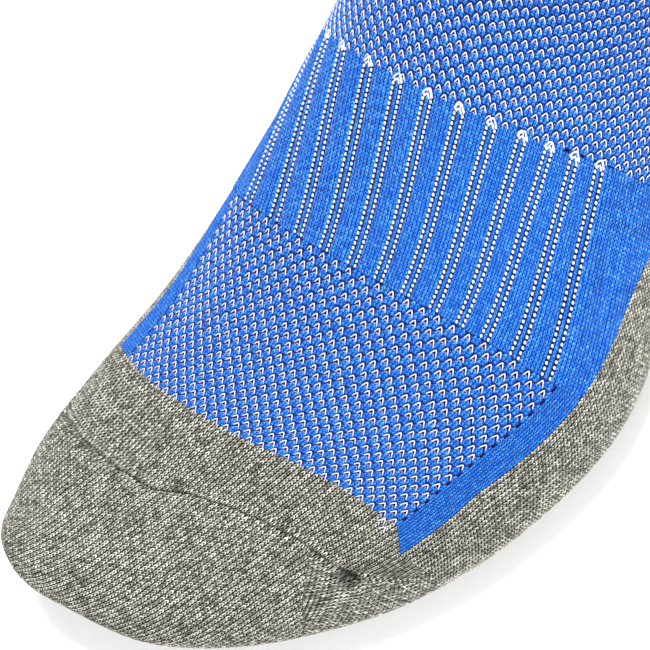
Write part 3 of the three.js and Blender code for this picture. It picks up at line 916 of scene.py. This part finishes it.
def toe_pieces():
    half = SEAM_WIDTH / 2
    s = np.linspace(0, 1, 4 * 190 + 1)
    t = np.linspace(0, 1, 4 * 68 + 1)[:, None] ** .8
    on = (s > SEAM_FROM) & (s < SEAM_TO)
    top_v = np.where(on, inset(s, seam_line(s), -half * .8), toe_cap_edge(s))
    v = 0.02 + (top_v - .02) * t
    u = np.broadcast_to(s, v.shape)
    a, b = pocket_numbers(u, v)
    obj = shell("toe_cap_pocket_knit", u, v, a, b, "grey", TOE_GREY, full=True, tip=True,
                bend=toe_dents(u, v))
    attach(obj, "toes")
    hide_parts("toe_cap_pocket")
    u, v, s, t = patch(flat(SEAM_FROM), flat(SEAM_TO), lambda u: inset(u, seam_line(u), -half),
                       lambda u: inset(u, seam_line(u), half), SEAM_WALES * 4, 12)
    arch = toe_dents(u, v) + toe_wave(u) * seam_strength(u)
    obj = shell("toe_seam_knit", u, v, s * SEAM_WALES, t * 2 + .25, "seam", SEAM, bend=arch)
    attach(obj, "toes")
    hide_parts("toe_seam")
    region = (flat(SEAM_FROM), flat(SEAM_TO), lambda u: inset(u, seam_line(u), half * .8), cap_edge)
    knit_panel("toe_cap_top", region, "grey", TOE_GREY, "toes", fine=(4, 4), bend=toe_dents)


def toe_wave(u):
    return .15 * np.sin(u * 190) + .12 * np.sin(u * 87 + 1)


SEAM_FROM, SEAM_TO = 11 / 40, 29 / 40


DASH_PITCH = 1.15
CAP_ACROSS = np.array([-1.15, -.85, -.45, .0, .45, .85, 1.15])
CAP_ALONG = np.array([-.45, .25, .85, 1.25, .85, .25, -.45])


def band_caps():
    """A pointed white stitch over the top of each pair of lines, with a smaller one inside it."""
    u = np.repeat(RIB_HIGH, 2)
    v = inset(u, band_high(u), np.tile([-.3, -.9], RIBS))
    scale = np.tile([1.0, .55], RIBS)[:, None]
    us, vs = spread(u[:, None], v[:, None], CAP_ACROSS * scale, CAP_ALONG * scale)
    return us, vs, np.full_like(us, .12), np.full_like(us, .22)


def band_panel():
    wide, tall = panel_size(*BAND)
    u, v, _, t = patch(*BAND, round(wide / BLUE_WALE) * 4, round(tall / BLUE_COURSE) * 4)
    obj = shell("arch_band_knit", u, v, rib_number(u, t), t * round(tall / BLUE_COURSE), "rib", RIB_BLUE)
    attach(obj, "foot")
    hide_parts("arch_band")
    band_stitches()


def band_stitches():
    """White slanted stitches in pairs of lines up the ribbed band, each pair ending in a pointed cap."""
    lines = np.array([k * RIB + offset for k in range(RIBS) for offset in PAIR])
    rows = round(panel_size(*BAND)[1] / DASH_PITCH)
    t = np.tile((np.arange(rows) + .5) / rows, len(lines))
    u = rib_place(np.repeat(lines, rows), t)
    v = band_low(u) + (band_high(u) - band_low(u)) * t
    long = np.linspace(-1, 1, 7)
    us, vs = spread(u[:, None], v[:, None], .15 * long[None], .35 * long[None])
    lifts = np.broadcast_to(.10 * (1 - long**2) - .16, us.shape)
    radii = np.broadcast_to(.28 * np.sqrt(1.02 - long**2) + .02, us.shape)
    us, vs, lifts, radii = (np.concatenate(pair) for pair in zip((us, vs, lifts, radii), band_caps()))
    obj = tubes("arch_band_stitches", us, vs, lifts, radii, WHITE)
    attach(obj, "foot")
    return obj


def foot_pieces():
    strips = [knit_panel(name, region, "blue", BLUE, TOE_BEND, fine=(4, 4), wale=.72)
              for name, region in (("side_strip_outer", STRIP_OUT), ("side_strip_inner", STRIP_IN))]
    mesh_panel("forefoot_mesh_panel", FORE_MESH, TOE_BEND, ROW_FORE, (14, 7),
               number=even_rows(FORE_MESH, mesh_cells(FORE_MESH, ROW_FORE)[1]), lead=.45)
    band_panel()
    mesh_panel("instep_mesh_panel", INSTEP, "foot", ROW_INSTEP, (12, 6), lead=.45)
    knit_panel("sole_panel", SOLE, "grey", GREY, TOE_BEND, fine=(4, 3))
    knit_panel("heel_cup", HEEL, "grey", GREY, "foot", fine=(3, 3))


def cushion(name, region, body, step=1.2):
    left, right, low, high = region
    wide, tall = panel_size(*region)
    u, v, s, t = patch(left, right, low, high, round(wide / step), round(tall / step))
    a, b = s * wide, t * tall
    lift = relief("terry", a, b) * .4 - TERRY_FROM - .3
    obj = shell(name + "_pile", u, v, a, b, "flat", TERRY, bend=lift, depth=TERRY_TO)
    follow(obj, body)
    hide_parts(name)


def full_cushion():
    s = np.linspace(0, 1, 201)
    t = np.linspace(0, 1, 61)[:, None]
    v = 1.2 + (4.2 - 1.2) * t
    v = np.broadcast_to(v, (61, 201))
    u = np.broadcast_to(s, v.shape)
    a, b = u * 180, v * 20
    lift = relief("terry", a * .5, b * .5) * .4 - TERRY_FROM - .3
    obj = shell("toe_cushion_pile", u, v, a, b, "flat", TERRY, full=True, bend=lift, depth=TERRY_TO)
    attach(obj, "toes")
    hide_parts("toe_cushion")


def cushions():
    full_cushion()
    under = (lambda v: -.8 * sole_edge(v), lambda v: .8 * sole_edge(v), flat(5.45), flat(9.1))
    cushion("sole_cushion", under, TOE_BEND)
    heel_top = ring_edge(RING_LOW - 5)
    cushion("heel_cushion", (flat(-.22), flat(.22), flat(9.3), heel_top), "foot")


def leg_pieces():
    mesh_panel("ankle_front_panel", (*FRONT, ring_low, ring_high), ANKLE_BEND, ROW_INSTEP, (8, 4))
    knit_panel("ankle_back_panel", (*BACK, ring_low, ring_high), "grey", GREY, ANKLE_BEND,
               fine=(3, 3))
    mesh_panel("leg_front_panel", (*FRONT, ring_high, flat(CUFF_FROM)), "leg", ROW_INSTEP, (6, 3))
    knit_panel("leg_back_panel", (*BACK, ring_high, flat(CUFF_FROM)), "rib", RIB_BLUE, "leg",
               fine=(3, 3))


def ring_piece(name, profile, material, kind, wales):
    """Sweeps a closed (v, depth) outline right round the leg, ribbed where it faces out."""
    cols = wales * 4
    s = np.linspace(0, 1, cols + 1)
    v = np.array([p[0] for p in profile + profile[:1]])[:, None]
    depth = np.array([p[1] for p in profile + profile[:1]])[:, None]
    u = np.broadcast_to(s, (len(profile) + 1, cols + 1))
    v = np.broadcast_to(v, u.shape)
    rib = .22 * np.cos(2 * np.pi * s * wales / 2) * (depth <= 0) if kind == "rib" else 0
    points = skin(u, v, rib - depth + 0 * u)
    ids = np.arange(points.shape[0] * points.shape[1]).reshape(points.shape[:2])
    ids[-1] = ids[0]
    ids[:, -1] = ids[:, 0]
    run = np.concatenate([[0], np.cumsum(np.linalg.norm(np.diff(points[:, 0], axis=0), axis=1))])
    uv = np.stack([u * wales, np.broadcast_to(run[:, None] / BLUE_COURSE, u.shape)], -1)
    quads, maps = grid_faces(ids, uv, False)
    used = np.unique(quads)
    number = np.zeros(ids.size + 1, int)
    number[used] = np.arange(len(used))
    obj = make_object(name, points.reshape(-1, 3)[used], number[quads.ravel()],
                      np.arange(len(quads)) * 4, maps.reshape(-1, 2), material)
    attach(obj, "leg")
    around = float(girth(np.array([(profile[0][0] + TOP) / 2]))[0])
    return obj


def cuff_pieces():
    depth = 2 * WELT + SLOT
    fold = TOP - .04
    up = np.linspace(CUFF_FROM, fold, 60)
    down = np.linspace(fold, CUFF_FROM, 16)
    profile = [(v, 0) for v in up] + [(TOP, WELT * .45), (TOP, depth - WELT * .45)]
    profile += [(v, depth) for v in down] + [(CUFF_FROM, depth - WELT)]
    profile += [(v, depth - WELT) for v in np.linspace(CUFF_FROM, fold - .02, 16)[1:]]
    profile += [(v, WELT) for v in np.linspace(fold - .02, CUFF_FROM, 16)]
    obj = ring_piece("cuff_welt_knit", profile, BLUE, "rib", 200)
    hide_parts("cuff_welt")
    face = WELT + (SLOT - ELASTIC) / 2
    band = [(v, face) for v in np.linspace(17.9, TOP - .2, 20)]
    band += [(v, face + ELASTIC) for v in np.linspace(TOP - .2, 17.9, 20)]
    obj = ring_piece("cuff_elastic_web", band, WEB, "flat", 120)
    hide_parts("cuff_elastic")


# ---- floor, light and camera ----
def floor_plane():
    mesh = bpy.data.meshes.new("floor")
    r = 3.0
    mesh.from_pydata([(-r, -r, -.0004), (r, -r, -.0004), (r, r, -.0004), (-r, r, -.0004)], [], [(0, 1, 2, 3)])
    obj = bpy.data.objects.new("floor", mesh)
    COLLECTION.objects.link(obj)
    material = bpy.data.materials.new("floor_white")
    material.use_nodes = True
    shader = material.node_tree.nodes["Principled BSDF"]
    shader.inputs["Base Color"].default_value = (.93, .93, .93, 1)
    shader.inputs["Roughness"].default_value = .8
    mesh.materials.append(material)


def area_light(name, place, target, width, power):
    light = bpy.data.lights.new(name, "AREA")
    light.size = width
    light.energy = power
    obj = bpy.data.objects.new(name, light)
    COLLECTION.objects.link(obj)
    obj.location = place
    back = np.array(place) - np.array(target)
    obj.rotation_euler = Matrix(look(back)).to_euler()


def look(back):
    back = back / np.linalg.norm(back)
    side = np.cross((0, 0, 1), back)
    side = side / max(np.linalg.norm(side), 1e-9)
    return np.stack([side, np.cross(back, side), back], 1).tolist()


def lights():
    area_light("key", (-.10, .25, .85), (0, -.1, .03), .25, 12.0)
    area_light("fill", (.7, -.6, .7), (0, -.1, .03), .9, 7.0)
    area_light("side", (.55, .0, .22), (0, -.08, .03), .5, 2.0)
    world = bpy.data.worlds.new("soft_white")
    bpy.context.scene.world = world
    world.use_nodes = True
    sky = world.node_tree.nodes["Background"]
    sky.inputs[0].default_value = (1, 1, 1, 1)
    sky.inputs[1].default_value = .62


TARGET = np.array([0, -110, 35.0])
DISTANCE = 700.0
VIEW_WIDTH = 136.55
AXES = np.array([[.736, .566, -.371], [-.565, .816, .123], [.372, .119, .920]])


def camera():
    u, _, vt = np.linalg.svd(AXES)
    axes = u @ vt
    data = bpy.data.cameras.new("camera")
    data.sensor_width = 36
    data.lens = 36 * DISTANCE / VIEW_WIDTH
    data.shift_x = -.0072
    data.shift_y = .0123
    data.clip_start = .01
    data.clip_end = 20
    obj = bpy.data.objects.new("camera", data)
    COLLECTION.objects.link(obj)
    place = (TARGET + axes[2] * DISTANCE) * MM
    m = Matrix(axes.T.tolist()).to_4x4()
    m.translation = place.tolist()
    obj.matrix_world = m
    bpy.context.scene.camera = obj
    bpy.context.scene.render.resolution_x = 650
    bpy.context.scene.render.resolution_y = 650


toe_pieces()
foot_pieces()
cushions()
leg_pieces()
cuff_pieces()
floor_plane()
lights()
camera()
bpy.context.scene.view_settings.view_transform = "Standard"
